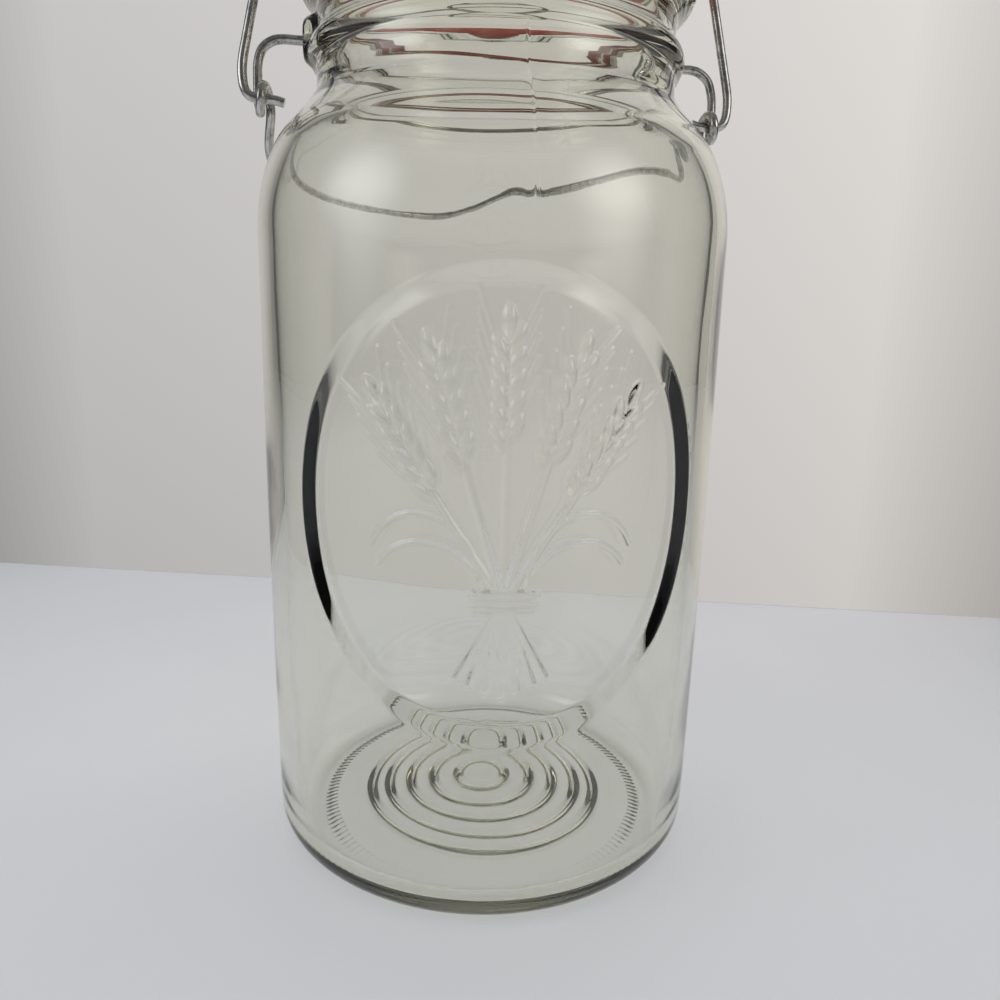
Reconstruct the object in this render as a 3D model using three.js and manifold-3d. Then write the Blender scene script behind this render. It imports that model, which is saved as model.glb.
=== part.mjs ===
import * as THREE from "three";
import { mergeVertices } from "three/addons/utils/BufferGeometryUtils.js";
import Module from "manifold-3d";

// Clear glass storage jar with a glass lid, a rubber ring and a two-piece wire bail closure.
// Millimetres, Z up, base on Z = 0, closure pivots along X, medallion facing -Y.

// Glass body
const bodyR = 57.5;
const baseR = 49.2;
const heelR = 7.5;
const taperZ = 95;
const shoulderZ = 154;
const shoulderR = 43.4;
const bendR = 20;
const bendFrom = 24.5;
const bendTo = 42;
const wall = 4;
const neckR = 42.9;
const mouthR = 38.2;
const ledgeZ = 213;
const ledgeR = 46.8;
const lipZ = 216.4;
const floorRimZ = 3.4;
const floorMidZ = 8.8;
const recessZ = 1.2;
const pushUp = 2.5;
const bodySegments = 54;

// Sunk oval medallion, turned a little from the closure's front
const ovalZ = 95.5;
const ovalHalfH = 50.2;
const ovalHalfW = 48.6;
const ovalTurn = -4.4;
const ovalDepth = 1.6;
const ovalSlope = 3;

// Pivot bosses on the neck
const pivotZ = 197.8;
const bossR = 6;
const bossX = 46;
const holeEndX = 42.3;
const wireR = 1.1;
const runningGap = 0.05;

// Lever eyes and bail
const eyeY = -4;
const eyeZ = 183.6;
const eyeX = 54.5;
const coilR = 2.9;
const coilPitch = 2.6;
const stubEndX = 49.6;
const legX = 58.9;
const legLean = 0.215;
const closureShift = -0.6;
const barZ = 233.2;
const barCorner = 12;

// Lid and rubber ring
const ringLow = ledgeZ + 0.3;
const ringHigh = ringLow + 2.6;
const lidLow = ringHigh + 0.3;
const lidR = 47;
const hubR = 14;
const lidSegments = 44;

const glass = new THREE.MeshStandardMaterial({ color: 0xc9d2c6, roughness: 0.05 });
const rubber = new THREE.MeshStandardMaterial({ color: 0xb2402f, roughness: 0.8 });
const zinc = new THREE.MeshStandardMaterial({ color: 0x9fa3a5, roughness: 0.4, metalness: 1 });

const wasm = await Module();
wasm.setup();

// Position-only solid from a closed geometry
function solidOf(geometry) {
  const bare = new THREE.BufferGeometry();
  bare.setAttribute("position", geometry.getAttribute("position"));
  if (geometry.index) bare.setIndex(geometry.index);
  const merged = mergeVertices(bare, 1e-4);
  const mesh = new wasm.Mesh({
    numProp: 3,
    vertProperties: new Float32Array(merged.getAttribute("position").array),
    triVerts: new Uint32Array(merged.index.array),
  });
  return new wasm.Manifold(mesh);
}

function geometryOf(solid) {
  const mesh = solid.getMesh();
  const geometry = new THREE.BufferGeometry();
  geometry.setAttribute("position", new THREE.BufferAttribute(new Float32Array(mesh.vertProperties), 3));
  geometry.setIndex(new THREE.BufferAttribute(new Uint32Array(mesh.triVerts), 1));
  geometry.computeVertexNormals();
  return geometry;
}

// Turned solid about Z from (radius, height) pairs that run anticlockwise in the r-z plane
function turned(pairs, segments) {
  const points = pairs.map(([r, z]) => new THREE.Vector2(r, z));
  const geometry = new THREE.LatheGeometry(points, segments);
  geometry.rotateX(Math.PI / 2);
  return geometry;
}

// Points on an arc in the r-z plane, angles in degrees
function arc(r, z, radius, from, to, steps) {
  const list = [];
  for (let i = 0; i <= steps; i += 1) {
    const a = THREE.MathUtils.degToRad(from + ((to - from) * i) / steps);
    list.push([r + radius * Math.cos(a), z + radius * Math.sin(a)]);
  }
  return list;
}

// Jar: recessed base, rounded heel, slight taper, shoulder, neck ring, sealing ledge and lip
const bendAngle = THREE.MathUtils.degToRad(bendFrom);
const bendX = bodyR - shoulderR + (shoulderR - bendR) * Math.cos(bendAngle);
const bendZ = shoulderZ + (shoulderR - bendR) * Math.sin(bendAngle);
const outside = [
  [0, recessZ + pushUp],
  [26, recessZ + 0.63 * pushUp],
  [43.4, recessZ],
  [45.2, 0],
  [baseR, 0],
  ...arc(baseR, heelR, heelR, -70, -6, 4),
  [57.0, 40],
  [bodyR, taperZ],
  ...arc(bodyR - shoulderR, shoulderZ, shoulderR, 0, bendFrom, 4),
  ...arc(bendX, bendZ, bendR, bendFrom, bendTo, 2).slice(1),
  [44.4, 183.6],
  [43.1, 186.2],
  [neckR, 191.7],
  [44.4, 192.7],
  [44.8, 194.4],
  [44.4, 196.1],
  [neckR - 0.5, 197.5],
  [neckR - 0.5, 203.2],
  [43.6, 204.9],
  [ledgeR - 0.5, 207.6],
  [ledgeR, 209],
  [ledgeR, ledgeZ - 0.5],
  [ledgeR - 0.5, ledgeZ],
];
const lipAndInside = [
  [41.4, ledgeZ],
  [41.2, lipZ - 0.6],
  [40.4, lipZ],
  [39.2, lipZ],
  [mouthR, lipZ - 1],
  [mouthR, 188],
  [40.4, 182.8],
  ...arc(bendX, bendZ, bendR - wall, bendTo, bendFrom, 2),
  ...arc(bodyR - shoulderR, shoulderZ, shoulderR - wall, bendFrom, 0, 3).slice(1),
  [bodyR - wall, taperZ],
  [52.7, 22],
  ...arc(45.2, floorRimZ + 7, 7, -6, -90, 4),
  [26, floorMidZ - 0.33 * (floorMidZ - floorRimZ)],
  [0, floorMidZ],
];
let jar = solidOf(turned([...outside, ...lipAndInside], bodySegments));

// Point on the body's cylinder: along the arc (mm), height and radius
function onBody(s, z, radius) {
  const a = s / bodyR + THREE.MathUtils.degToRad(ovalTurn);
  return [radius * Math.sin(a), -radius * Math.cos(a), z];
}

// Space of the sunk oval: rings from outside the glass, down the sloped wall, to the flat panel
function sunkOval(segments) {
  const panel = 1 - ovalSlope / ovalHalfW;
  const rings = [
    [0.35, 3],
    [0.7, 3],
    [1.06, 3],
    [1.06, ovalDepth],
    [1, 0],
    [panel, -ovalDepth],
    [0.7, -ovalDepth],
    [0.46, -ovalDepth],
    [0.23, -ovalDepth],
  ];
  const place = [...onBody(0, ovalZ, bodyR + 3)];
  for (const [scale, rise] of rings) {
    for (let i = 0; i < segments; i += 1) {
      const t = (2 * Math.PI * i) / segments;
      const s = ovalHalfW * scale * Math.cos(t);
      const z = ovalZ + ovalHalfH * scale * Math.sin(t);
      place.push(...onBody(s, z, bodyR + rise));
    }
  }
  place.push(...onBody(0, ovalZ, bodyR - ovalDepth));
  const last = place.length / 3 - 1;
  const index = [];
  for (let i = 0; i < segments; i += 1) {
    const j = (i + 1) % segments;
    index.push(0, 1 + i, 1 + j);
    for (let k = 0; k < rings.length - 1; k += 1) {
      const a = 1 + k * segments;
      const b = a + segments;
      index.push(a + i, b + i, b + j, a + i, b + j, a + j);
    }
    const c = 1 + (rings.length - 1) * segments;
    index.push(c + i, last, c + j);
  }
  const geometry = new THREE.BufferGeometry();
  geometry.setAttribute("position", new THREE.BufferAttribute(new Float32Array(place), 3));
  geometry.setIndex(index);
  return geometry;
}
jar = jar.subtract(solidOf(sunkOval(40)));

// Grain of an ear: a long bead half sunk in the panel, lying at an angle from upright
function grain(s, z, tilt, halfLength, halfWidth) {
  const bead = new THREE.SphereGeometry(1, 7, 4);
  bead.scale(halfWidth, 1.5, halfLength);
  bead.rotateY(tilt);
  bead.rotateZ(s / bodyR + THREE.MathUtils.degToRad(ovalTurn));
  const [x, y, height] = onBody(s, z, bodyR - ovalDepth - 0.4);
  bead.translate(x, y, height);
  return bead;
}

// Sheaf: five stalks fan out of a tie, each with an ear at its top and a butt end below
const tieZ = 78;
for (const lean of [-34, -17, 0, 17, 34]) {
  const a = THREE.MathUtils.degToRad(lean);
  const reach = 44 - Math.abs(lean) * 0.16;
  jar = jar.add(solidOf(grain(reach * Math.sin(a), tieZ + reach * Math.cos(a), a, 12, 3.4)));
  jar = jar.add(solidOf(grain(18 * Math.sin(a), tieZ + 18 * Math.cos(a), a, 15, 1)));
  jar = jar.add(solidOf(grain(-11 * Math.sin(a), tieZ - 11 * Math.cos(a), a, 9.5, 1)));
}
jar = jar.add(solidOf(grain(0, tieZ, Math.PI / 2, 8, 2.2)));

// Bosses with blind holes for the lever's ends
for (const side of [-1, 1]) {
  const boss = new THREE.CylinderGeometry(bossR - 1, bossR, bossX - 38.8, 20);
  boss.rotateZ(-side * Math.PI / 2);
  boss.translate(side * (bossX + 38.8) / 2, 0, pivotZ);
  const hole = new THREE.CylinderGeometry(wireR + runningGap, wireR + runningGap, 8, 16);
  hole.rotateZ(-side * Math.PI / 2);
  hole.translate(side * (holeEndX + 4), 0, pivotZ);
  jar = jar.add(solidOf(boss)).subtract(solidOf(hole));
}

// Keep the mouth open where the bosses' roots reach the inner wall
const bore = new THREE.CylinderGeometry(mouthR, mouthR, 24, bodySegments);
bore.rotateX(Math.PI / 2);
bore.translate(0, 0, pivotZ);
jar = jar.subtract(solidOf(bore));

// Lid: rim on the rubber, shallow dome and a saddle for the bail's bar
let lid = solidOf(turned([
  [0, 221.6],
  [20, 220.6],
  [36, 218.6],
  [41.8, 217.8],
  [42.4, lidLow],
  [lidR - 0.6, lidLow],
  [lidR, lidLow + 0.8],
  [lidR, 219.6],
  [lidR - 0.5, 221],
  [lidR - 1.6, 221.8],
  [38, 223.4],
  [27, 226.4],
  [17, 228.4],
  [hubR, 229.6],
  [hubR - 1, 232.4],
  [hubR - 2.2, barZ + 0.2],
  [0, barZ + 0.2],
], lidSegments));
const eyeArm = Math.hypot(eyeY, pivotZ - eyeZ);
const saddleR = eyeArm + wireR + 0.6;
const saddle = new THREE.CylinderGeometry(saddleR, saddleR, 60, 48);
saddle.rotateZ(Math.PI / 2);
saddle.translate(0, -eyeY, barZ + pivotZ - eyeZ);
lid = lid.subtract(solidOf(saddle));

// Rubber ring between ledge and lid
const seal = turned([
  [42.2, ringLow],
  [46.2, ringLow],
  [46.7, ringLow + 0.5],
  [46.7, ringHigh - 0.5],
  [46.2, ringHigh],
  [42.2, ringHigh],
  [42.2, ringLow],
], lidSegments);

// Round wire along a path
function wire(path, stations, sides) {
  const section = new THREE.Shape();
  for (let i = 0; i < sides; i += 1) {
    const a = (2 * Math.PI * (i + 0.5)) / sides;
    const x = wireR * Math.cos(a);
    const y = wireR * Math.sin(a);
    if (i === 0) section.moveTo(x, y);
    else section.lineTo(x, y);
  }
  section.closePath();
  return new THREE.ExtrudeGeometry(section, { steps: stations, extrudePath: path, bevelEnabled: false });
}

const at = (x, y, z) => new THREE.Vector3(x, y, z);

// Bail: a stub through each eye, a leg up each side leaning inward, and a bar over the lid
const bailLean = -eyeY / (barZ - eyeZ);
function bailPoint(x, z) {
  return at(x + closureShift, eyeY + (z - eyeZ) * bailLean, z);
}
function bailHalf(side) {
  const hook = [
    [stubEndX, 0.6 * side],
    [stubEndX + 2, 0.1 * side],
    [54, 0],
    [56.1, 0.1],
    [57.6, 0.7],
    [legX - 0.4, 2.1],
    [legX, 4.4],
    [legX, 7],
  ];
  const list = hook.map(([x, rise]) => bailPoint(side * x, eyeZ + rise));
  const legFoot = eyeZ + 9.2;
  const cornerZ = barZ - barCorner;
  const legTop = legX - 0.3 - legLean * (cornerZ - legFoot);
  for (let i = 0; i <= 7; i += 1) {
    const z = legFoot + ((cornerZ - legFoot) * i) / 7;
    list.push(bailPoint(side * (legX - 0.3 - legLean * (z - legFoot)), z));
  }
  for (let i = 1; i <= 6; i += 1) {
    const a = (Math.PI / 2) * (i / 6);
    const x = legTop - legLean * barCorner * 0.55 * Math.sin(a) - (barCorner - 1) * (1 - Math.cos(a));
    list.push(bailPoint(side * x, cornerZ + barCorner * Math.sin(a)));
  }
  list.push(bailPoint(side * 28, barZ));
  list.push(bailPoint(side * 14, barZ));
  return list;
}
const bailPath = new THREE.CatmullRomCurve3([...bailHalf(1), bailPoint(0, barZ), ...bailHalf(-1).reverse()]);

// Lever: an end in each boss, a bend down, one turn round the bail's stub, an arm and a loop behind
function leverEnd(side) {
  const list = [];
  for (const x of [holeEndX + 0.4, 45, 47.5]) list.push(at(side * x, 0, pivotZ));
  const outX = eyeX + coilPitch / 2;
  const point = (x, y, z) => at(side * x + closureShift, y, z);
  list.push(point(outX - 5.8, 0, pivotZ));
  list.push(point(outX - 3.6, -0.05, pivotZ - 0.5));
  list.push(point(outX - 1.2, -0.2, pivotZ - 2.4));
  list.push(point(outX - 0.15, -0.5, pivotZ - 5.4));
  list.push(point(outX, eyeY + coilR - 0.05, eyeZ + 5.2));
  const turns = 14;
  for (let i = 0; i <= turns; i += 1) {
    const a = (-2 * Math.PI * i) / turns;
    list.push(point(outX - (coilPitch * i) / turns, eyeY + coilR * Math.cos(a), eyeZ + coilR * Math.sin(a)));
  }
  list.push(point(outX - coilPitch - 0.05, eyeY + coilR + 0.25, eyeZ - 2.6));
  return list;
}
const loop = [
  at(-54.9, 3.4, 174.8),
  at(-54.6, 12.5, 171.4),
  at(-50.8, 26.4, 169.6),
  at(-43.4, 38.2, 168.7),
  at(-33, 47.6, 168.1),
  at(-21, 54, 167.7),
  at(-9, 57.3, 168.1),
  at(2, 57.6, 171.6),
  at(9, 57.1, 175.2),
  at(15, 56, 177.5),
  at(21, 54.2, 176.8),
  at(29, 50.6, 177.5),
  at(40, 42, 179.6),
  at(49.5, 27.5, 180.9),
  at(54.2, 13.5, 178.8),
  at(54.9, 3.6, 175.6),
];
const leverPath = new THREE.CatmullRomCurve3([...leverEnd(-1), ...loop, ...leverEnd(1).reverse()]);

const group = new THREE.Group();
function piece(name, geometry, material) {
  const mesh = new THREE.Mesh(geometry, material);
  mesh.name = name;
  group.add(mesh);
}
piece("jar_body", geometryOf(jar), glass);
piece("lid_glass", geometryOf(lid), glass);
piece("rubber_ring", seal, rubber);
piece("bail_wire", wire(bailPath, 72, 8), zinc);
piece("lever_wire", wire(leverPath, 172, 8), zinc);

export default group;
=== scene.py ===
import math

import bpy
import numpy as np
from mathutils import Matrix, Vector


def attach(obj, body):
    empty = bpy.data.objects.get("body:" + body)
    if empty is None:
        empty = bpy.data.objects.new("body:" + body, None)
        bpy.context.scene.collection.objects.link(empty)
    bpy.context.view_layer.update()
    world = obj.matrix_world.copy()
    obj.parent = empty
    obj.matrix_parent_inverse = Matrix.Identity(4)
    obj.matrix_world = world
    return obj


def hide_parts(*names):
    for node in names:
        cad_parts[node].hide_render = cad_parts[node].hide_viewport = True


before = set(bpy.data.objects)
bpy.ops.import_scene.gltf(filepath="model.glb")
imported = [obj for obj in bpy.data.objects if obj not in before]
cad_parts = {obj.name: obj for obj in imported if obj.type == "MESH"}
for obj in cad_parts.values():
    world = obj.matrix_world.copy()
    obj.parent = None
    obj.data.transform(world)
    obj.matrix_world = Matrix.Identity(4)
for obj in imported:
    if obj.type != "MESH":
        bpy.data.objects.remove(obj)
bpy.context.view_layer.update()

mm = 0.001
print("frame loaded with", ", ".join(sorted(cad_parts)))


def clearSelection():
    if bpy.context.object and bpy.context.object.mode != "OBJECT":
        bpy.ops.object.mode_set(mode="OBJECT")
    bpy.ops.object.select_all(action="DESELECT")


def linear(hexCode):
    channels = [int(hexCode[i:i + 2], 16) / 255 for i in (1, 3, 5)]
    return tuple(c / 12.92 if c <= 0.04045 else ((c + 0.055) / 1.055) ** 2.4 for c in channels) + (1.0,)


def addNode(tree, kind, inputs=None, **settings):
    node = tree.nodes.new(kind)
    for name, value in settings.items():
        setattr(node, name, value)
    for name, value in (inputs or {}).items():
        if isinstance(value, bpy.types.NodeSocket):
            tree.links.new(value, node.inputs[name])
        else:
            node.inputs[name].default_value = value
    return node


def newMaterial(name):
    material = bpy.data.materials.new(name)
    material.use_nodes = True
    material.node_tree.nodes.clear()
    return material, material.node_tree


def arcPoints(r, z, radius, start, end, steps):
    angles = np.radians(np.linspace(start, end, steps + 1))
    return [(r + radius * math.cos(a), z + radius * math.sin(a)) for a in angles]


def straight(r0, z0, r1, z1, steps):
    return [(r0 + (r1 - r0) * i / steps, z0 + (z1 - z0) * i / steps) for i in range(1, steps + 1)]


def spunPiece(name, outline, sectors):
    # one point is drawn out along the outline in millimetres, then spun about Z sector by sector
    clearSelection()
    bpy.ops.mesh.primitive_plane_add(size=0.002)
    piece = bpy.context.object
    piece.name = name
    bpy.ops.object.mode_set(mode="EDIT")
    bpy.context.tool_settings.mesh_select_mode = (True, False, False)
    bpy.ops.mesh.merge(type="CENTER")
    bpy.ops.transform.translate(value=(outline[0][0] * mm, 0, outline[0][1] * mm))
    for (r0, z0), (r1, z1) in zip(outline, outline[1:]):
        bpy.ops.mesh.extrude_vertices_move(
            TRANSFORM_OT_translate={"value": ((r1 - r0) * mm, 0, (z1 - z0) * mm)})
    bpy.ops.mesh.select_all(action="SELECT")
    for angle, steps in sectors:
        bpy.ops.mesh.spin(steps=steps, angle=math.radians(angle), center=(0, 0, 0), axis=(0, 0, 1))
    bpy.ops.mesh.select_all(action="SELECT")
    bpy.ops.mesh.remove_doubles(threshold=4e-6)
    bpy.ops.mesh.normals_make_consistent(inside=False)
    bpy.ops.object.mode_set(mode="OBJECT")
    return piece


def meshPoints(piece):
    points = np.empty(len(piece.data.vertices) * 3)
    piece.data.vertices.foreach_get("co", points)
    return points.reshape(-1, 3)


def setPoints(piece, points):
    piece.data.vertices.foreach_set("co", points.ravel())
    piece.data.update()


def pickFaces(piece, test):
    # test takes the faces' centres and tells which ones stay selected
    clearSelection()
    bpy.context.view_layer.objects.active = piece
    piece.select_set(True)
    centres = np.empty(len(piece.data.polygons) * 3)
    piece.data.polygons.foreach_get("center", centres)
    piece.data.vertices.foreach_set("select", np.zeros(len(piece.data.vertices), bool))
    piece.data.edges.foreach_set("select", np.zeros(len(piece.data.edges), bool))
    piece.data.polygons.foreach_set("select", test(centres.reshape(-1, 3)))
    bpy.context.tool_settings.mesh_select_mode = (False, False, True)
    bpy.ops.object.mode_set(mode="EDIT")


def boolean(piece, other, operation):
    clearSelection()
    bpy.context.view_layer.objects.active = piece
    piece.select_set(True)
    cut = piece.modifiers.new("cut", "BOOLEAN")
    cut.object = other
    cut.operation = operation
    cut.solver = "MANIFOLD"
    bpy.ops.object.modifier_apply(modifier=cut.name)
    bpy.data.objects.remove(other, do_unlink=True)


def smoothShade(piece, angle):
    clearSelection()
    bpy.context.view_layer.objects.active = piece
    piece.select_set(True)
    bpy.ops.object.shade_smooth_by_angle(angle=math.radians(angle))


def finishPiece(piece, body, node, material):
    piece.data.materials.clear()
    piece.data.materials.append(material)
    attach(piece, body)
    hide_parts(node)
    print(piece.name, "made with", len(piece.data.polygons), "faces")


# camera: where the photograph was taken from, worked out from the jar's outline and closure
camera = {
    "focal": 28.66,         # mm on a 36 mm sensor
    "away": 212.0,          # mm from the jar's axis
    "height": 133.1,
    "pitch": 12.19,         # degrees down
    "yaw": -0.9,
    "roll": 1.37,
    "closureTurn": 8.0,     # the closure's left end is nearer the camera
}

clearSelection()
turn = math.radians(camera["closureTurn"])
bpy.ops.object.camera_add()
photoCamera = bpy.context.object
photoCamera.name = "photo_camera"
photoCamera.data.lens = camera["focal"]
photoCamera.data.sensor_width = 36
photoCamera.data.clip_start = 0.01
away = camera["away"] * mm
photoCamera.matrix_world = (
    Matrix.Translation((-away * math.sin(turn), -away * math.cos(turn), camera["height"] * mm))
    @ Matrix.Rotation(math.radians(camera["yaw"]) - turn, 4, "Z")
    @ Matrix.Rotation(math.radians(90 - camera["pitch"]), 4, "X")
    @ Matrix.Rotation(math.radians(camera["roll"]), 4, "Z"))
bpy.context.scene.camera = photoCamera
print("camera set")


def standingTicks(tree, place, look):
    # short radial ticks pressed into the edge of the ring that the jar stands on
    split = addNode(tree, "ShaderNodeSeparateXYZ", {"Vector": place})
    around = addNode(tree, "ShaderNodeMath", {
        0: split.outputs["Y"], 1: split.outputs["X"]}, operation="ARCTAN2")
    count = addNode(tree, "ShaderNodeMath", {
        0: around.outputs[0], 1: float(look["ticks"])}, operation="MULTIPLY")
    tick = addNode(tree, "ShaderNodeMath", {0: count.outputs[0]}, operation="SINE")
    flat = addNode(tree, "ShaderNodeVectorMath", {0: place, 1: (1, 1, 0)}, operation="MULTIPLY")
    reach = addNode(tree, "ShaderNodeVectorMath", {0: flat.outputs[0]}, operation="LENGTH")
    band = addNode(tree, "ShaderNodeMath", {
        0: reach.outputs["Value"], 1: look["tickR"] * mm, 2: look["tickHalf"] * mm}, operation="COMPARE")
    low = addNode(tree, "ShaderNodeMath", {
        0: split.outputs["Z"], 1: look["tickTop"] * mm}, operation="LESS_THAN")
    inBand = addNode(tree, "ShaderNodeMath", {
        0: band.outputs[0], 1: low.outputs[0]}, operation="MULTIPLY")
    return addNode(tree, "ShaderNodeMath", {
        0: tick.outputs[0], 1: inBand.outputs[0]}, operation="MULTIPLY").outputs[0]


# soda-lime glass pressed in an iron mould: wet gloss, faint ripple of the mould, olive in its depth
def pressedGlass(name, look):
    material, tree = newMaterial(name)
    place = addNode(tree, "ShaderNodeTexCoord").outputs["Object"]
    ripple = addNode(tree, "ShaderNodeTexNoise", {
        "Vector": place, "Scale": 1 / (look["ripple"] * mm), "Detail": 1.0, "Roughness": 0.45})
    smears = addNode(tree, "ShaderNodeTexNoise", {
        "Vector": place, "Scale": 1 / (look["smear"] * mm), "Detail": 3.0, "Distortion": 0.6})
    gloss = addNode(tree, "ShaderNodeMapRange", {
        "Value": smears.outputs["Fac"], "From Min": 0.45, "From Max": 0.75,
        "To Min": 0.0, "To Max": look["haze"]})
    cords = addNode(tree, "ShaderNodeValToRGB", {"Fac": smears.outputs["Fac"]})
    cords.color_ramp.elements[0].color = linear(look["clear"])
    cords.color_ramp.elements[1].color = linear(look["cord"])
    height = ripple.outputs["Fac"]
    if look["ticks"]:
        height = addNode(tree, "ShaderNodeMath", {
            0: standingTicks(tree, place, look), 1: look["tickRise"], 2: ripple.outputs["Fac"]},
            operation="MULTIPLY_ADD").outputs[0]
    bump = addNode(tree, "ShaderNodeBump", {
        "Strength": 1.0, "Distance": look["rippleDepth"] * mm, "Height": height})
    shader = addNode(tree, "ShaderNodeBsdfPrincipled", {
        "Base Color": cords.outputs["Color"], "Roughness": gloss.outputs["Result"], "IOR": 1.52,
        "Transmission Weight": 1.0, "Normal": bump.outputs["Normal"]})
    depth = addNode(tree, "ShaderNodeVolumeAbsorption", {
        "Color": linear(look["depthTint"]), "Density": look["depthDensity"]})
    addNode(tree, "ShaderNodeOutputMaterial", {
        "Surface": shader.outputs["BSDF"], "Volume": depth.outputs["Volume"]})
    return material


# the jar: lathe outline, sunk oval with a sheaf of grain, mould seam, pivot bosses
jar = {
    "bodyR": 57.5, "baseR": 49.2, "heelR": 7.5, "wall": 4.0,
    "shoulderZ": 154.0, "shoulderR": 43.4, "bendR": 20.0, "bendFrom": 24.5, "bendTo": 42.0,
    "floorRim": 3.4, "floorMid": 8.8, "floorCorner": 7.0, "floorR": 45.2,
    "recess": 1.2, "pushUp": 2.5, "recessR": 43.4,
    "ringsAt": (6.6, 13.8, 20.3, 26.6, 31.8), "ringHalf": 1.8, "ringDrop": 1.25,
    "ovalZ": 95.5, "ovalHalfH": 50.2, "ovalHalfW": 48.6, "ovalTurn": -4.4,
    "ovalDepth": (1.0, 1.7),            # in the middle, at the sides
    "ovalSlope": (2.7, 3.2, 4.6),       # on the left, on the right, at top and bottom
    "ovalRound": 0.14,
    "seamRise": 0.14, "wave": 0.13,
    "bossZ": 197.8, "bossR": 6.0, "bossX": 46.0, "holeR": 1.15, "holeEnd": 42.3,
    "glass": {
        "ripple": 26.0, "rippleDepth": 0.10, "smear": 34.0, "haze": 0.02,
        "ticks": 150, "tickR": 44.2, "tickHalf": 1.9, "tickTop": 1.6, "tickRise": 0.5,
        "clear": "#ffffff", "cord": "#fcfdfb", "depthTint": "#ededdf", "depthDensity": 78.0},
}


def bodyRadius(z):
    # the body swells a little towards its middle
    return jar["bodyR"] - 0.8 * np.clip((95 - z) / 90, 0, 1) ** 1.5


def underside(r):
    return jar["recess"] + jar["pushUp"] * max(0, 1 - (r / jar["recessR"]) ** 2)


def floorHeight(r):
    return jar["floorRim"] + (jar["floorMid"] - jar["floorRim"]) * (1 - (r / jar["floorR"]) ** 2)


def baseOutline():
    points = [(r, underside(r)) for r in (0.0, 2.4, 4.2)]
    for at in jar["ringsAt"]:
        for k in (-1, -0.75, -0.4, 0, 0.4, 0.75, 1):
            r = at + k * jar["ringHalf"]
            points.append((r, underside(r) - jar["ringDrop"] * math.cos(k * math.pi / 2) ** 2))
    points += [(r, underside(r)) for r in (36.0, 39.0, 42.0)]
    return points + [(43.4, 1.15), (44.2, 0.8), (44.9, 0.35), (45.6, 0.08), (46.4, 0.0), (47.8, 0.0)]


def jarOutline():
    bend = math.radians(jar["bendFrom"])
    bigR, bendR, wall = jar["shoulderR"], jar["bendR"], jar["wall"]
    bigX, bigZ = jar["bodyR"] - bigR, jar["shoulderZ"]
    bendX, bendZ = bigX + (bigR - bendR) * math.cos(bend), bigZ + (bigR - bendR) * math.sin(bend)
    points = baseOutline()
    points += arcPoints(jar["baseR"], jar["heelR"], jar["heelR"], -90, -6, 10)
    points += [(float(bodyRadius(z)), z) for z in (11, 16, 21, 26, 32, 38)]
    points += [(float(bodyRadius(z)), float(z)) for z in range(42, 152, 2)]
    points += arcPoints(bigX, bigZ, bigR, 0, jar["bendFrom"], 9)
    points += arcPoints(bendX, bendZ, bendR, jar["bendFrom"], jar["bendTo"], 6)[1:]
    neckRoot = [(48.2, 179.3), (46.3, 181.5), (45.0, 183.0), (44.2, 184.0), (43.55, 185.1), (43.15, 186.3)]
    neck = [(42.95, 187.6), (42.9, 189.5), (42.9, 191.0)]
    bead = [(43.1, 191.6), (43.6, 192.0), (44.2, 192.5), (44.6, 193.2), (44.8, 194.0), (44.8, 194.8),
            (44.6, 195.6), (44.2, 196.3), (43.5, 196.9), (42.8, 197.4), (42.45, 198.0), (42.4, 199.0)]
    flare = [(42.4, 202.0), (42.5, 203.2), (42.9, 204.2), (43.6, 205.1), (44.6, 206.0), (45.6, 206.9),
             (46.3, 207.8), (46.7, 208.7), (46.8, 209.6)]
    ledge = [(46.8, 212.1), (46.65, 212.6), (46.2, 212.95), (45.6, 213.0), (43.5, 213.0), (41.9, 213.0)]
    lip = [(41.5, 213.2), (41.35, 214.0), (41.25, 215.2), (41.05, 215.9), (40.6, 216.3), (40.1, 216.4),
           (39.4, 216.4), (38.8, 216.2), (38.4, 215.8), (38.2, 215.1)]
    mouth = straight(38.2, 215.1, 38.2, 189.5, 6)
    shoulder = [(38.25, 188.0), (38.5, 186.6), (39.0, 185.2), (39.7, 183.9), (40.6, 182.6), (42.6, 180.2),
                (44.9, 177.4)]
    points += neckRoot + neck + bead + flare + ledge + lip + mouth + shoulder
    points += arcPoints(bendX, bendZ, bendR - wall, jar["bendTo"], jar["bendFrom"], 5)
    points += arcPoints(bigX, bigZ, bigR - wall, jar["bendFrom"], 0, 7)[1:]
    points += straight(53.5, bigZ, 53.5, 95.0, 6)
    points += straight(53.5, 95.0, 52.7, 22.0, 7)
    points += straight(52.7, 22.0, 52.3, 12.0, 3)
    points += arcPoints(jar["floorR"], jar["floorRim"] + jar["floorCorner"], jar["floorCorner"], -4, -102, 14)
    return points + [(r, floorHeight(r)) for r in (40.0, 36.0, 31.0, 26.0, 20.0, 14.0, 7.0, 0.0)]


def wallMiddle(z):
    outline = jarOutline()
    top = max(range(len(outline)), key=lambda i: outline[i][1])
    outer = sorted((height, r) for r, height in outline[:top] if r > 42)
    inner = sorted((height, r) for r, height in outline[top:] if r > 37)
    return (np.interp(z, *zip(*outer)) + np.interp(z, *zip(*inner))) / 2


def softStep(t, k):
    ramp = lambda x: np.where(x < -k, 0, np.where(x > k, x, (x + k) ** 2 / (4 * k)))
    return ramp(t) - ramp(t - 1)


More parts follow.
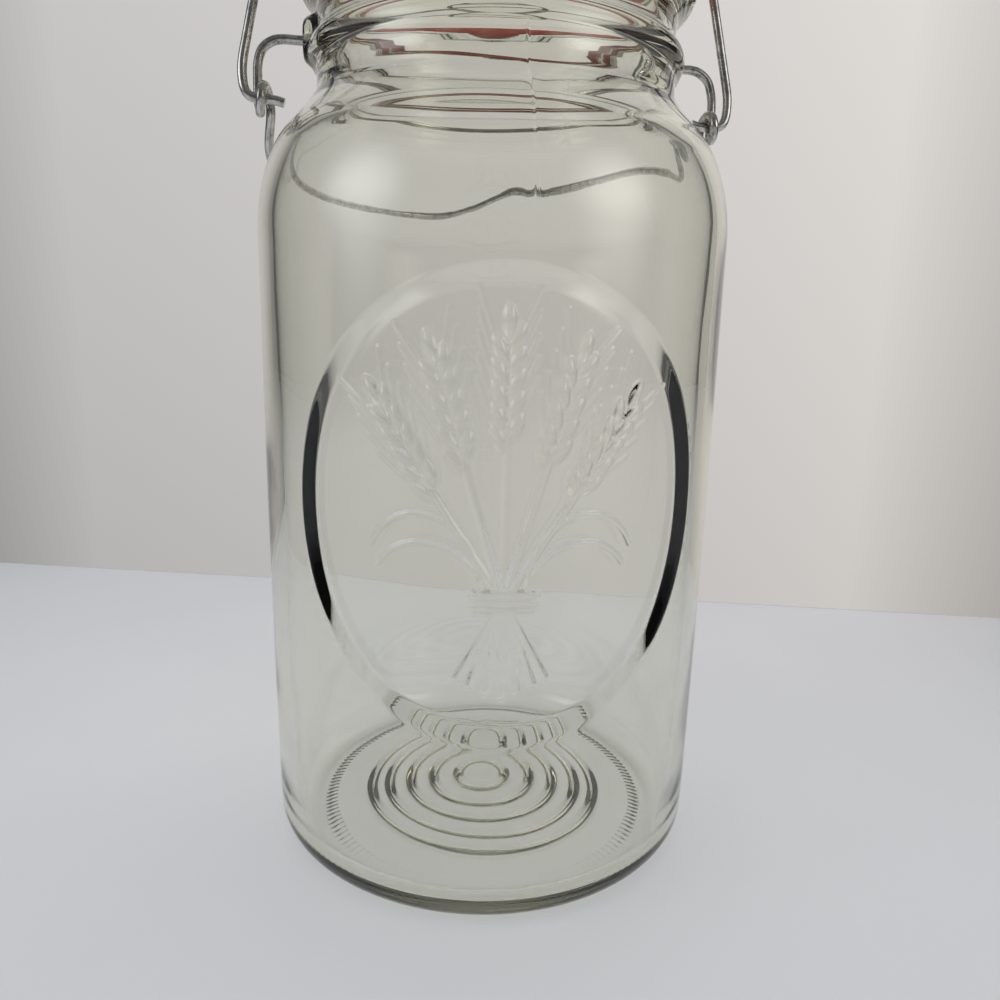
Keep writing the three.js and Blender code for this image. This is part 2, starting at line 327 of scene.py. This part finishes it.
sheaf = {
    "tieZ": 78.0, "leans": (-34, -17, 0, 17, 34), "earReach": 44.0, "stalkHalf": 0.9, "stalkRise": 0.6,
    "grainLong": 3.5, "grainHalf": 1.55, "grainRise": 1.05, "buttLeans": (-38, -24, -11, 0, 11, 24, 38),
    "leafHalf": 0.75, "leafRise": 0.55, "beardHalf": 0.55, "beardRise": 0.22, "tieHalf": 1.0, "tieRise": 0.8,
}


def grain(s, z, x0, z0, lean):
    # a rounded bead on the panel, long axis leaning from the vertical
    a = math.radians(lean)
    along = (s - x0) * math.sin(a) + (z - z0) * math.cos(a)
    across = (s - x0) * math.cos(a) - (z - z0) * math.sin(a)
    inside = 1 - (along / sheaf["grainLong"]) ** 2 - (across / sheaf["grainHalf"]) ** 2
    return sheaf["grainRise"] * np.clip(inside, 0, 1) ** 0.8


def ridge(s, z, route, half, rise):
    # a rounded line along a route of points
    near = np.full(s.shape, 1e9)
    for (x0, z0), (x1, z1) in zip(route, route[1:]):
        length = math.hypot(x1 - x0, z1 - z0)
        t = np.clip(((s - x0) * (x1 - x0) + (z - z0) * (z1 - z0)) / length ** 2, 0, 1)
        near = np.minimum(near, np.hypot(s - x0 - t * (x1 - x0), z - z0 - t * (z1 - z0)))
    return rise * np.clip(1 - (near / half) ** 2, 0, 1) ** 0.8


def sheafRelief(s, z):
    height = np.zeros(s.shape)
    tieZ = sheaf["tieZ"]
    for lean in sheaf["leans"]:
        a = math.radians(lean)
        reach = sheaf["earReach"] - 0.16 * abs(lean)
        point = lambda along, across=0: (
            along * math.sin(a) + across * math.cos(a), tieZ + along * math.cos(a) - across * math.sin(a))
        stalk = [point(2), point(reach - 8)]
        height = np.maximum(height, ridge(s, z, stalk, sheaf["stalkHalf"], sheaf["stalkRise"]))
        for row in range(5):
            for side in (-1, 1):
                x0, z0 = point(reach - 9 + 4.3 * row + 1.1 * side, 1.75 * side)
                height = np.maximum(height, grain(s, z, x0, z0, lean + 20 * side))
                beard = [point(reach - 6 + 4.3 * row + 1.1 * side, 3.0 * side),
                         point(reach + 1.5 + 4.3 * row, 6.0 * side)]
                height = np.maximum(height, ridge(s, z, beard, sheaf["beardHalf"], sheaf["beardRise"]))
        x0, z0 = point(reach + 12.6)
        height = np.maximum(height, grain(s, z, x0, z0, lean))
    for lean in sheaf["buttLeans"]:
        a = math.radians(lean)
        far = 21 - 0.1 * abs(lean)
        butt = [(-1.5 * math.sin(a), tieZ - 1.5), (-far * math.sin(a) * 0.9, tieZ - far)]
        height = np.maximum(height, ridge(s, z, butt, sheaf["stalkHalf"], sheaf["stalkRise"]))
    for side in (-1, 1):
        bend = np.radians(np.linspace(0, 150, 13))
        leaf = [(side * (5 + 13 * (1 - math.cos(t))), tieZ + 3 + 15 * math.sin(t)) for t in bend]
        spine = [(side * (5 + 12 * (1 - math.cos(t))), tieZ + 1 + 11 * math.sin(t)) for t in bend]
        height = np.maximum(height, ridge(s, z, leaf, sheaf["leafHalf"], sheaf["leafRise"]))
        height = np.maximum(height, ridge(s, z, spine, sheaf["leafHalf"], sheaf["leafRise"]))
    for lift in (-1.6, 0, 1.6):
        band = [(-6, tieZ + lift), (6, tieZ + lift)]
        height = np.maximum(height, ridge(s, z, band, sheaf["tieHalf"], sheaf["tieRise"]))
    return height


def frontRelief(s, z):
    # the oval panel is let into the wall with a sloped edge, and the sheaf stands on it
    q = np.hypot(s / jar["ovalHalfW"], (z - jar["ovalZ"]) / jar["ovalHalfH"])
    inwards = (1 - q) * 0.5 * (jar["ovalHalfW"] + jar["ovalHalfH"])
    left, right, top = jar["ovalSlope"]
    aside = np.clip(s / jar["ovalHalfW"] / np.maximum(q, 0.01), -1, 1)
    slope = top + (np.where(s < 0, left, right) - top) * aside ** 2
    panel = softStep(inwards / slope, jar["ovalRound"])
    middle, sides = jar["ovalDepth"]
    depth = middle + (sides - middle) * np.clip(s / jar["ovalHalfW"], -1, 1) ** 2
    return sheafRelief(s, z) - depth * panel


def aroundWall(points):
    # arc length from the oval's middle line and height, both in millimetres
    azimuth = np.arctan2(points[:, 0], -points[:, 1]) - math.radians(jar["ovalTurn"])
    azimuth = (azimuth + math.pi) % (2 * math.pi) - math.pi
    return azimuth * jar["bodyR"], points[:, 2] / mm


def onFront(points):
    s, z = aroundWall(points)
    outer = np.hypot(points[:, 0], points[:, 1]) > 0.0555
    return outer & (np.abs(s) < 51) & (z > 43) & (z < 147)


def needsDetail(centres):
    s, z = aroundWall(centres)
    samples = [frontRelief(s + ds, z + dz) for ds in (-0.6, 0, 0.6) for dz in (-0.6, 0, 0.6)]
    return onFront(centres) & (np.ptp(samples, axis=0) > 0.08)


def addBosses(piece):
    # the bosses swell smoothly out of the neck, and each is drilled for the lever's end
    pickFaces(piece, lambda centres: (np.abs(centres[:, 1]) < 0.0088) & (np.abs(centres[:, 0]) > 0.0405)
              & (np.abs(centres[:, 2] - jar["bossZ"] * mm) < 0.0088))
    bpy.ops.mesh.subdivide(number_cuts=2)
    bpy.ops.object.mode_set(mode="OBJECT")
    points = meshPoints(piece)
    x, y, z = points.T / mm
    reach = np.hypot(x, y)
    away = np.hypot(y, z - jar["bossZ"])
    dome = jar["bossX"] - 0.35 * (away / 4) ** 2 - 6 * np.clip((away - jar["bossR"] + 2.1) / 3, 0, None) ** 2
    dome = np.hypot(dome, y)
    swollen = 0.5 * (reach + dome + np.hypot(reach - dome, 0.8))
    near = (away < 8.6) & (np.abs(x) > 30) & (reach > wallMiddle(z))
    scale = np.where(near, swollen / np.maximum(reach, 1), 1)
    points[:, 0] *= scale
    points[:, 1] *= scale
    setPoints(piece, points)
    for side in (-1, 1):
        clearSelection()
        bpy.ops.mesh.primitive_cylinder_add(
            vertices=24, radius=jar["holeR"] * mm, depth=8 * mm,
            location=(side * (jar["holeEnd"] + 4) * mm, 0, jar["bossZ"] * mm), rotation=(0, math.pi / 2, 0))
        drill = bpy.context.object
        bpy.ops.object.transform_apply(location=True, rotation=True, scale=True)
        boolean(piece, drill, "DIFFERENCE")


def makeJar():
    quarter = (89.3, 45)
    seamSteps = (1.4, 4)
    piece = spunPiece("jar_body_glass", jarOutline(), (quarter, seamSteps, (178.6, 90), seamSteps, quarter))
    addBosses(piece)
    pickFaces(piece, onFront)
    bpy.ops.mesh.subdivide(number_cuts=1)
    pickFaces(piece, needsDetail)
    bpy.ops.mesh.subdivide(number_cuts=2)
    bpy.ops.object.mode_set(mode="OBJECT")
    points = meshPoints(piece)
    azimuth = np.arctan2(points[:, 1], points[:, 0])
    reach = np.hypot(points[:, 0], points[:, 1]) / mm
    z = points[:, 2] / mm
    s, _ = aroundWall(points)
    body = (reach > 55.5) & (z > 9) & (z < 150)
    front = body & (np.abs(s) < 52) & (z > 42) & (z < 148)
    reach = np.where(body, bodyRadius(z), reach)
    reach = np.where(front, reach + frontRelief(s, z), reach)
    # the seam where the mould's halves met, at the back and above the oval in front
    seam = np.clip(1 - np.abs(points[:, 0]) / (0.45 * mm), 0, 1) ** 0.8 * jar["seamRise"]
    inOval = np.hypot(s / jar["ovalHalfW"], (z - jar["ovalZ"]) / jar["ovalHalfH"]) < 1.0
    seamed = (points[:, 1] >= 0) | (z >= jar["ovalZ"])
    outside = reach > wallMiddle(z)
    reach = np.where(outside & seamed & ~inOval & (z > 9) & (z < 191), reach + seam, reach)
    # the blown inside is never quite even
    inside = (z > 20) & (z < 185) & ~outside
    wave = np.sin(3 * azimuth + z / 23) * np.sin(z / 19 + 0.6) + 0.6 * np.sin(5 * azimuth - z / 17 + 1.1)
    reach = np.where(inside, reach + jar["wave"] * wave, reach)
    points[:, 0] = reach * mm * np.cos(azimuth)
    points[:, 1] = reach * mm * np.sin(azimuth)
    setPoints(piece, points)
    smoothShade(piece, 50)
    return piece


jarPiece = makeJar()
jarPiece.visible_shadow = False      # clear glass lets the light through to the table
finishPiece(jarPiece, "jar", "jar_body", pressedGlass("pressed_soda_lime_glass", jar["glass"]))


# the lid: domed, with a hub and a saddle that the bail's bar snaps into
lid = {
    "saddleR": 16.45, "saddleY": 4.0, "saddleZ": 247.4,
    "glass": {
        "ripple": 18.0, "rippleDepth": 0.06, "smear": 22.0, "haze": 0.03, "ticks": 0,
        "clear": "#ffffff", "cord": "#f8faf6", "depthTint": "#efeee2", "depthDensity": 80.0},
}


def lidOutline():
    under = [(0.0, 221.6), (6.0, 221.5), (13.0, 221.2), (20.0, 220.6), (28.0, 219.7), (36.0, 218.6),
             (40.0, 218.1), (41.4, 217.8)]
    rim = [(41.9, 217.4), (42.1, 216.8), (42.5, 216.35), (43.2, 216.2), (45.4, 216.2), (46.2, 216.3),
           (46.75, 216.7), (47.0, 217.3)]
    edge = [(47.0, 219.4), (46.9, 220.2), (46.6, 220.9), (46.1, 221.4), (45.4, 221.8), (43.0, 222.4),
            (40.5, 222.9), (38.0, 223.4)]
    dome = [(34.0, 224.4), (30.0, 225.5), (26.0, 226.6), (22.0, 227.5), (18.5, 228.1), (16.5, 228.5),
            (15.2, 229.0), (14.4, 229.7)]
    hub = [(13.9, 230.6), (13.5, 231.6), (13.1, 232.4), (12.6, 233.0), (11.9, 233.3), (11.0, 233.4),
           (6.0, 233.4), (0.0, 233.4)]
    return under + rim + edge + dome + hub


def makeLid():
    piece = spunPiece("lid_glass_dome", lidOutline(), ((360.0, 144),))
    clearSelection()
    bpy.ops.mesh.primitive_cylinder_add(
        vertices=160, radius=lid["saddleR"] * mm, depth=60 * mm,
        location=(0, lid["saddleY"] * mm, lid["saddleZ"] * mm), rotation=(0, math.pi / 2, 0))
    saddle = bpy.context.object
    bpy.ops.object.transform_apply(location=True, rotation=True, scale=True)
    boolean(piece, saddle, "DIFFERENCE")
    smoothShade(piece, 40)
    return piece


lidPiece = makeLid()
lidPiece.visible_shadow = False
finishPiece(lidPiece, "jar", "lid_glass", pressedGlass("pressed_lid_glass", lid["glass"]))


# the sealing ring: cut and tumbled natural rubber, matt brick red with a pale bloom
seal = {
    "low": 213.3, "high": 215.9, "inner": 42.2, "outer": 46.7, "corner": 0.55,
    "red": "#c24e3a", "bloom": "#d47c69", "dark": "#a53a29",
}


def sealRubber():
    material, tree = newMaterial("moulded_red_rubber")
    place = addNode(tree, "ShaderNodeTexCoord").outputs["Object"]
    bloom = addNode(tree, "ShaderNodeTexNoise", {"Vector": place, "Scale": 1 / (9 * mm), "Detail": 4.0})
    colour = addNode(tree, "ShaderNodeValToRGB", {"Fac": bloom.outputs["Fac"]})
    colour.color_ramp.elements[0].position = 0.3
    colour.color_ramp.elements[0].color = linear(seal["dark"])
    colour.color_ramp.elements[1].position = 0.72
    colour.color_ramp.elements[1].color = linear(seal["bloom"])
    middle = colour.color_ramp.elements.new(0.5)
    middle.color = linear(seal["red"])
    grit = addNode(tree, "ShaderNodeTexNoise", {"Vector": place, "Scale": 1 / (0.5 * mm), "Detail": 2.0})
    bump = addNode(tree, "ShaderNodeBump", {
        "Strength": 0.5, "Distance": 0.06 * mm, "Height": grit.outputs["Fac"]})
    dull = addNode(tree, "ShaderNodeMapRange", {"Value": bloom.outputs["Fac"], "To Min": 0.5, "To Max": 0.8})
    shader = addNode(tree, "ShaderNodeBsdfPrincipled", {
        "Base Color": colour.outputs["Color"], "Roughness": dull.outputs["Result"], "IOR": 1.52,
        "Normal": bump.outputs["Normal"]})
    addNode(tree, "ShaderNodeOutputMaterial", {"Surface": shader.outputs["BSDF"]})
    return material


def makeSeal():
    c = seal["corner"]
    outline = []
    for r, z, start in ((seal["outer"] - c, seal["low"] + c, -90), (seal["outer"] - c, seal["high"] - c, 0),
                        (seal["inner"] + c, seal["high"] - c, 90), (seal["inner"] + c, seal["low"] + c, 180)):
        outline += arcPoints(r, z, c, start, start + 90, 4)
    outline.append(outline[0])
    piece = spunPiece("rubber_ring_seal", outline, ((360.0, 144),))
    smoothShade(piece, 50)
    return piece


sealPiece = makeSeal()
finishPiece(sealPiece, "jar", "rubber_ring", sealRubber())


# the wires: zinc-dipped steel, bright pale grey with a mottled skin and duller rubbed places
wire = {
    "radius": 1.1, "sides": 5,
    "zinc": "#c6c5c1", "pale": "#dedcd7", "dark": "#8f8e8b",
    "pivotZ": 197.8, "eyeY": -4.0, "eyeZ": 183.6, "eyeX": 54.5, "coilR": 2.9, "coilPitch": 2.6,
    "stubEnd": 49.6, "legX": 58.9, "legLean": 0.215, "barZ": 233.2, "barCorner": 12.0, "shift": -0.6,
}


def zincWire():
    material, tree = newMaterial("galvanised_steel_wire")
    place = addNode(tree, "ShaderNodeTexCoord").outputs["Object"]
    skin = addNode(tree, "ShaderNodeTexNoise", {
        "Vector": place, "Scale": 1 / (2.2 * mm), "Detail": 4.0, "Roughness": 0.65})
    worn = addNode(tree, "ShaderNodeTexNoise", {
        "Vector": place, "Scale": 1 / (14 * mm), "Detail": 3.0, "Distortion": 0.8})
    colour = addNode(tree, "ShaderNodeValToRGB", {"Fac": skin.outputs["Fac"]})
    colour.color_ramp.elements[0].position = 0.3
    colour.color_ramp.elements[0].color = linear(wire["dark"])
    colour.color_ramp.elements[1].position = 0.68
    colour.color_ramp.elements[1].color = linear(wire["pale"])
    middle = colour.color_ramp.elements.new(0.48)
    middle.color = linear(wire["zinc"])
    dull = addNode(tree, "ShaderNodeMapRange", {
        "Value": worn.outputs["Fac"], "From Min": 0.3, "From Max": 0.7, "To Min": 0.16, "To Max": 0.32})
    bump = addNode(tree, "ShaderNodeBump", {
        "Strength": 0.3, "Distance": 0.06 * mm, "Height": skin.outputs["Fac"]})
    shader = addNode(tree, "ShaderNodeBsdfPrincipled", {
        "Base Color": colour.outputs["Color"], "Metallic": 1.0, "Roughness": dull.outputs["Result"],
        "Normal": bump.outputs["Normal"]})
    addNode(tree, "ShaderNodeOutputMaterial", {"Surface": shader.outputs["BSDF"]})
    return material


def smoothRoute(knots, perSpan):
    # a smooth line through the bends, with its pace set by the root of each span's length
    knots = [Vector(k) for k in knots]
    knots = [knots[0] * 2 - knots[1]] + knots + [knots[-1] * 2 - knots[-2]]
    route = []
    for p0, p1, p2, p3 in zip(knots, knots[1:], knots[2:], knots[3:]):
        t1 = (p1 - p0).length ** 0.5
        t2 = t1 + (p2 - p1).length ** 0.5
        t3 = t2 + (p3 - p2).length ** 0.5
        for i in range(perSpan):
            t = t1 + (t2 - t1) * i / perSpan
            a1 = p0 * ((t1 - t) / t1) + p1 * (t / t1)
            a2 = p1 * ((t2 - t) / (t2 - t1)) + p2 * ((t - t1) / (t2 - t1))
            a3 = p2 * ((t3 - t) / (t3 - t2)) + p3 * ((t - t2) / (t3 - t2))
            b1 = a1 * ((t2 - t) / t2) + a2 * (t / t2)
            b2 = a2 * ((t3 - t) / (t3 - t1)) + a3 * ((t - t1) / (t3 - t1))
            route.append(b1 * ((t2 - t) / (t2 - t1)) + b2 * ((t - t1) / (t2 - t1)))
    return route + [knots[-2]]


def bentWire(name, knots, perSpan):
    route = smoothRoute(knots, perSpan)
    clearSelection()
    bpy.ops.curve.primitive_nurbs_path_add()
    piece = bpy.context.object
    piece.name = name
    curve = piece.data
    curve.splines.clear()
    spline = curve.splines.new("POLY")
    spline.points.add(len(route) - 1)
    for point, at in zip(spline.points, route):
        point.co = (at.x * mm, at.y * mm, at.z * mm, 1)
    curve.bevel_depth = wire["radius"] * mm
    curve.bevel_resolution = wire["sides"]
    curve.use_fill_caps = True
    bpy.ops.object.convert(target="MESH")
    piece = bpy.context.object
    bpy.ops.object.mode_set(mode="EDIT")
    bpy.ops.mesh.select_all(action="SELECT")
    bpy.ops.mesh.remove_doubles(threshold=1e-6)
    bpy.ops.mesh.normals_make_consistent(inside=False)
    bpy.ops.object.mode_set(mode="OBJECT")
    smoothShade(piece, 60)
    return piece


def bailKnots():
    low, legX, lean, corner = wire["eyeZ"], wire["legX"], wire["legLean"], wire["barCorner"]
    foot, top = low + 9.2, wire["barZ"] - corner

    def at(x, z):
        return (x + wire["shift"], wire["eyeY"] - (z - low) * wire["eyeY"] / (wire["barZ"] - low), z)

    def half(side):
        hook = [(wire["stubEnd"], 0.6 * side), (wire["stubEnd"] + 2, 0.1 * side), (54, 0), (56.1, 0.1),
                (57.6, 0.7), (legX - 0.4, 2.1), (legX, 4.4), (legX, 7)]
        knots = [at(side * x, low + rise) for x, rise in hook]
        for i in range(8):
            z = foot + (top - foot) * i / 7
            knots.append(at(side * (legX - 0.3 - lean * (z - foot)), z))
        topX = legX - 0.3 - lean * (top - foot)
        for i in range(1, 7):
            a = math.radians(15 * i)
            x = topX - lean * corner * 0.55 * math.sin(a) - (corner - 1) * (1 - math.cos(a))
            knots.append(at(side * x, top + corner * math.sin(a)))
        return knots + [at(side * 28, wire["barZ"]), at(side * 14, wire["barZ"])]

    return half(1) + [at(0, wire["barZ"])] + half(-1)[::-1]


def leverEnd(side):
    # from the blind hole in the boss, down to the eye and once round it
    out = wire["eyeX"] + wire["coilPitch"] / 2
    pivot = wire["pivotZ"]
    knots = [(side * x, 0, pivot) for x in (jar["holeEnd"] + 0.4, 45, 47.5)]
    bend = [(out - 5.8, 0, pivot), (out - 3.6, -0.05, pivot - 0.5), (out - 1.2, -0.2, pivot - 2.4),
            (out - 0.15, -0.5, pivot - 5.4), (out, -1.15, wire["eyeZ"] + 5.2)]
    for i in range(15):
        a = -2 * math.pi * i / 14
        bend.append((out - wire["coilPitch"] * i / 14, wire["eyeY"] + wire["coilR"] * math.cos(a),
                     wire["eyeZ"] + wire["coilR"] * math.sin(a)))
    bend.append((out - wire["coilPitch"] - 0.05, -0.85, wire["eyeZ"] - 2.6))
    return knots + [(side * x + wire["shift"], y, z) for x, y, z in bend]


lever = {
    "loop": [(-54.9, 3.4, 174.8), (-54.6, 12.5, 171.4), (-50.8, 26.4, 169.6), (-43.4, 38.2, 168.7),
             (-33, 47.6, 168.1), (-21, 54, 167.7), (-9, 57.3, 168.1), (2, 57.6, 171.6), (9, 57.1, 175.2),
             (15, 56, 177.5), (21, 54.2, 176.8), (29, 50.6, 177.5), (40, 42, 179.6), (49.5, 27.5, 180.9),
             (54.2, 13.5, 178.8), (54.9, 3.6, 175.6)],
}

wireMaterial = zincWire()
bailPiece = bentWire("bail_wire_bent", bailKnots(), 6)
finishPiece(bailPiece, "bail", "bail_wire", wireMaterial)
leverPiece = bentWire("lever_wire_bent", leverEnd(-1) + lever["loop"] + leverEnd(1)[::-1], 6)
finishPiece(leverPiece, "lever", "lever_wire", wireMaterial)


# the stage: pale table, white board behind it, soft light from above and two windows
stage = {
    "table": "#e9eaee", "tableGrey": "#dfe1e6",
    # painted light across the glowing board, darker towards its ends, by metres from its middle
    "board": ((-0.30, "#7f7d7b"), (-0.18, "#bcbab9"), (0.13, "#cbc8c5"), (0.20, "#d2cfcb"),
              (0.30, "#a3a09c")),
    # painted light: the board glows dimmer at its foot and brighter at its top
    "paintedLightLow": 0.93, "paintedLightHigh": 1.16, "boardReach": (-0.30, 0.30),
    "boardFoot": ((-199.6, 205.9), (110.7, 170.5)),      # two points of its lower edge, seen beside the jar
    "world": "#c9cbcc", "roomLow": 0.12, "roomHigh": 0.28,
    "overhead": 7.3, "window": 6.5,
}


def tableTop():
    # satin paint, faintly clouded
    material, tree = newMaterial("painted_table_top")
    place = addNode(tree, "ShaderNodeTexCoord").outputs["Object"]
    cloud = addNode(tree, "ShaderNodeTexNoise", {"Vector": place, "Scale": 1 / (120 * mm), "Detail": 5.0})
    colour = addNode(tree, "ShaderNodeValToRGB", {"Fac": cloud.outputs["Fac"]})
    colour.color_ramp.elements[0].color = linear(stage["tableGrey"])
    colour.color_ramp.elements[1].color = linear(stage["table"])
    shader = addNode(tree, "ShaderNodeBsdfPrincipled", {
        "Base Color": colour.outputs["Color"], "Roughness": 0.55})
    addNode(tree, "ShaderNodeOutputMaterial", {"Surface": shader.outputs["BSDF"]})
    return material


def whiteBoard():
    # a glowing board with painted light on it, darker towards its ends and brighter upwards; clear from
    # behind so that it hides nothing in other views
    material, tree = newMaterial("board_with_painted_light")
    coords = addNode(tree, "ShaderNodeTexCoord")
    split = addNode(tree, "ShaderNodeSeparateXYZ", {"Vector": coords.outputs["Object"]})
    ends = stage["board"][0][0], stage["board"][-1][0]
    across = addNode(tree, "ShaderNodeMapRange", {
        "Value": split.outputs["X"], "From Min": ends[0], "From Max": ends[1]})
    # painted shade: the board's tones darken towards its ends
    colour = addNode(tree, "ShaderNodeValToRGB", {"Fac": across.outputs["Result"]})
    stops = colour.color_ramp.elements
    stops[0].color, stops[1].color = linear(stage["board"][0][1]), linear(stage["board"][-1][1])
    for x, tone in stage["board"][1:-1]:
        stops.new((x - ends[0]) / (ends[1] - ends[0])).color = linear(tone)
    # painted light: the glow grows brighter towards the board's top
    paintedRise = addNode(tree, "ShaderNodeMapRange", {
        "Value": split.outputs["Z"], "From Min": 0.0, "From Max": 0.3,
        "To Min": stage["paintedLightLow"], "To Max": stage["paintedLightHigh"]})
    glow = addNode(tree, "ShaderNodeEmission", {
        "Color": colour.outputs["Color"], "Strength": paintedRise.outputs["Result"]})
    clear = addNode(tree, "ShaderNodeBsdfTransparent")
    side = addNode(tree, "ShaderNodeNewGeometry")
    mix = addNode(tree, "ShaderNodeMixShader", {
        0: side.outputs["Backfacing"], 1: glow.outputs[0], 2: clear.outputs[0]})
    addNode(tree, "ShaderNodeOutputMaterial", {"Surface": mix.outputs["Shader"]})
    return material


def areaLight(name, azimuth, elevation, distance, size, power, tint, soft=False):
    # azimuth 0 is the camera's side, positive to its right
    a, e = math.radians(azimuth) - turn, math.radians(elevation)
    aim = Vector((0, 0, 0.12))
    place = aim + distance * Vector((math.sin(a) * math.cos(e), -math.cos(a) * math.cos(e), math.sin(e)))
    clearSelection()
    bpy.ops.object.light_add(type="AREA", location=place)
    light = bpy.context.object
    light.name = name
    light.data.shape = "RECTANGLE"
    light.data.size, light.data.size_y = size
    light.data.energy = power
    light.data.color = linear(tint)[:3]
    light.rotation_euler = (aim - place).to_track_quat("-Z", "Y").to_euler()
    if soft:
        # brightest in its middle, as a curtained window is
        light.data.use_nodes = True
        tree = light.data.node_tree
        where = addNode(tree, "ShaderNodeNewGeometry")
        middle = addNode(tree, "ShaderNodeVectorMath", {
            0: where.outputs["Parametric"], 1: (0.5, 0.5, 0)}, operation="DISTANCE")
        fade = addNode(tree, "ShaderNodeMapRange", {
            "Value": middle.outputs["Value"], "From Min": 0.05, "From Max": 0.5,
            "To Min": 1.0, "To Max": 0.0}, interpolation_type="SMOOTHSTEP")
        tree.links.new(fade.outputs["Result"], tree.nodes["Emission"].inputs["Strength"])
    return light


clearSelection()
bpy.ops.mesh.primitive_plane_add(size=3.2, location=(0, 0, -0.0002))
table = bpy.context.object
table.name = "table_top"
table.data.materials.append(tableTop())

back = Matrix.Rotation(-turn, 3, "Z")
footA, footB = (back @ Vector((x * mm, y * mm, 0)) for x, y in stage["boardFoot"])
along = (footB - footA).normalized()
middle = (footA + footB) / 2
clearSelection()
bpy.ops.mesh.primitive_plane_add(
    size=1.0, location=middle + along * sum(stage["boardReach"]) / 2 + Vector((0, 0, 0.4)),
    rotation=(math.pi / 2, 0, math.atan2(along.y, along.x)))
board = bpy.context.object
board.name = "white_board"
reach = stage["boardReach"][1] - stage["boardReach"][0]
bpy.ops.transform.resize(value=(reach, reach, 0.8))
bpy.ops.object.transform_apply(location=True, rotation=True, scale=True)
board.data.materials.append(whiteBoard())

# lights the table without a glare in the glass
overhead = areaLight("overhead_soft", 0, 82, 1.1, (1.1, 1.1), stage["overhead"], "#ffffff")
overhead.visible_transmission = overhead.visible_glossy = False
areaLight("window_left", -64, 22, 1.0, (0.95, 0.85), stage["window"], "#f6faff", soft=True)
areaLight("window_right", 58, 22, 1.0, (0.95, 0.85), stage["window"], "#fffaf4", soft=True)

world = bpy.data.worlds.new("soft_room")
bpy.context.scene.world = world
world.use_nodes = True
room = world.node_tree.nodes["Background"]
room.inputs["Color"].default_value = linear(stage["world"])
# dim round the sides, a little brighter under the ceiling
facing = addNode(world.node_tree, "ShaderNodeTexCoord")
heading = addNode(world.node_tree, "ShaderNodeSeparateXYZ", {"Vector": facing.outputs["Generated"]})
rise = addNode(world.node_tree, "ShaderNodeMapRange", {
    "Value": heading.outputs["Z"], "From Min": 0.1, "From Max": 0.8,
    "To Min": stage["roomLow"], "To Max": stage["roomHigh"]})
world.node_tree.links.new(rise.outputs["Result"], room.inputs["Strength"])
bpy.context.scene.view_settings.view_transform = "Standard"
print("stage and light set")
